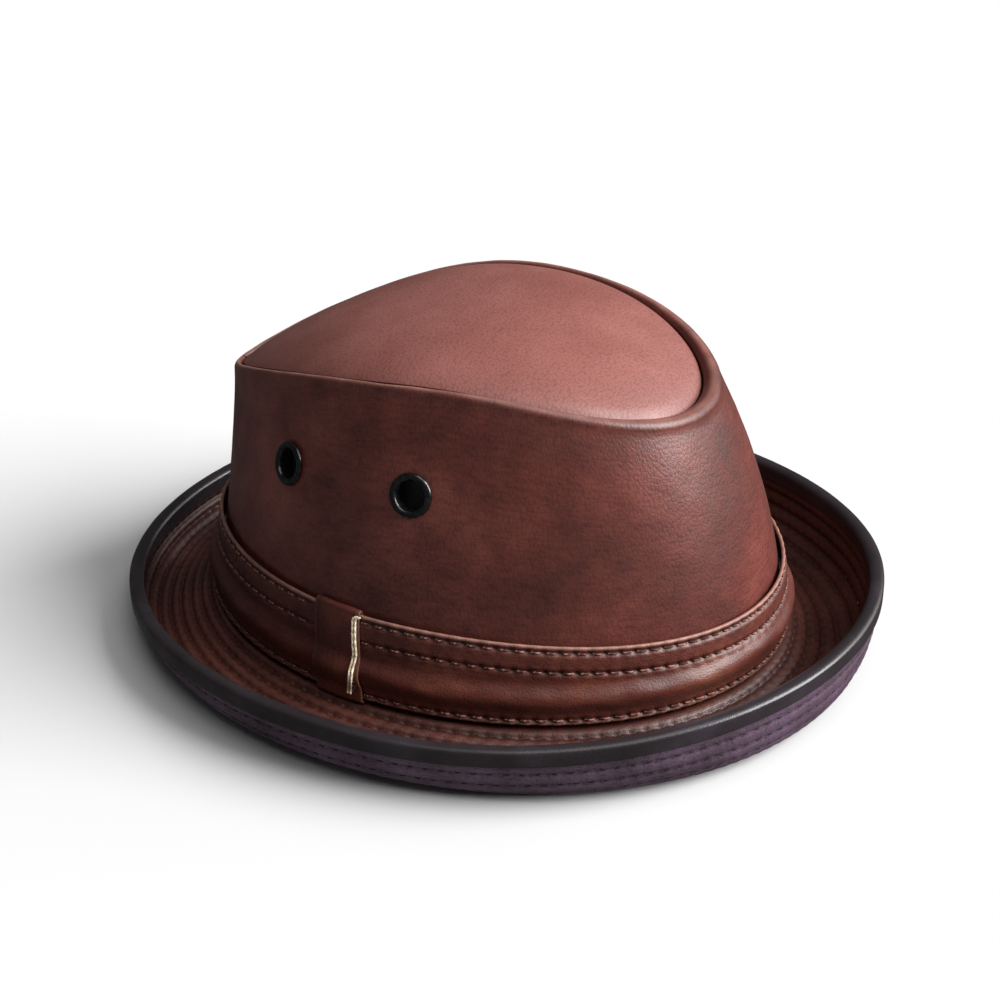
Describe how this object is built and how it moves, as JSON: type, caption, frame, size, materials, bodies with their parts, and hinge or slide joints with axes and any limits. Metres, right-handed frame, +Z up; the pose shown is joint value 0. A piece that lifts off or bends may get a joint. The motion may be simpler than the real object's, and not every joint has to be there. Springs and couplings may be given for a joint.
{
  "type": "leather trilby hat",
  "caption": "Leather trilby: teardrop crown with vent eyelets, puffed hatband with a keeper, and a short, turned-up, row-stitched brim with a bound edge.",
  "frame": {"origin": "centre of the hat's outline at the level of the flat ring that it stands on, under the brim", "axes": "+Z up through the crown, -Y to the front of the hat, +X to the wearer's left"},
  "size_m": [0.2522, 0.2864, 0.1252],
  "materials": {
    "tip_leather": "fine pebbled grain, worn satin",
    "wall_leather": "waxed, fine creased grain, satin",
    "brim_leather": "row-stitched, satin",
    "underside_leather": "row-stitched, dull satin",
    "binding_leather": "smooth, satin",
    "band_leather": "waxed, satin, topstitched",
    "sweatband_leather": "smooth, matt",
    "stiffening_canvas": "plain woven, stiffened",
    "lining_satin": "satin weave",
    "sewing_thread": "twisted polyester",
    "blackened_metal": "blackened, polished"
  },
  "bodies": {
    "root": {"crown_tip": "tip_leather", "crown_wall": "wall_leather", "tip_interlining": "stiffening_canvas", "wall_interlining": "stiffening_canvas", "lining_tip": "lining_satin", "lining_wall": "lining_satin", "sweatband": "sweatband_leather", "sweatband_reed": "sweatband_leather", "hatband": "band_leather", "hatband_filler": "stiffening_canvas", "hatband_keeper": "band_leather", "keeper_tack_thread": "sewing_thread", "brim_top": "brim_leather", "brim_stiffener": "stiffening_canvas", "brim_under": "underside_leather", "brim_binding": "binding_leather", "eyelet_left_front": "blackened_metal", "eyelet_washer_left_front": "blackened_metal", "eyelet_left_rear": "blackened_metal", "eyelet_washer_left_rear": "blackened_metal", "eyelet_right_front": "blackened_metal", "eyelet_washer_right_front": "blackened_metal", "eyelet_right_rear": "blackened_metal", "eyelet_washer_right_rear": "blackened_metal"}
  },
  "joints": []
}
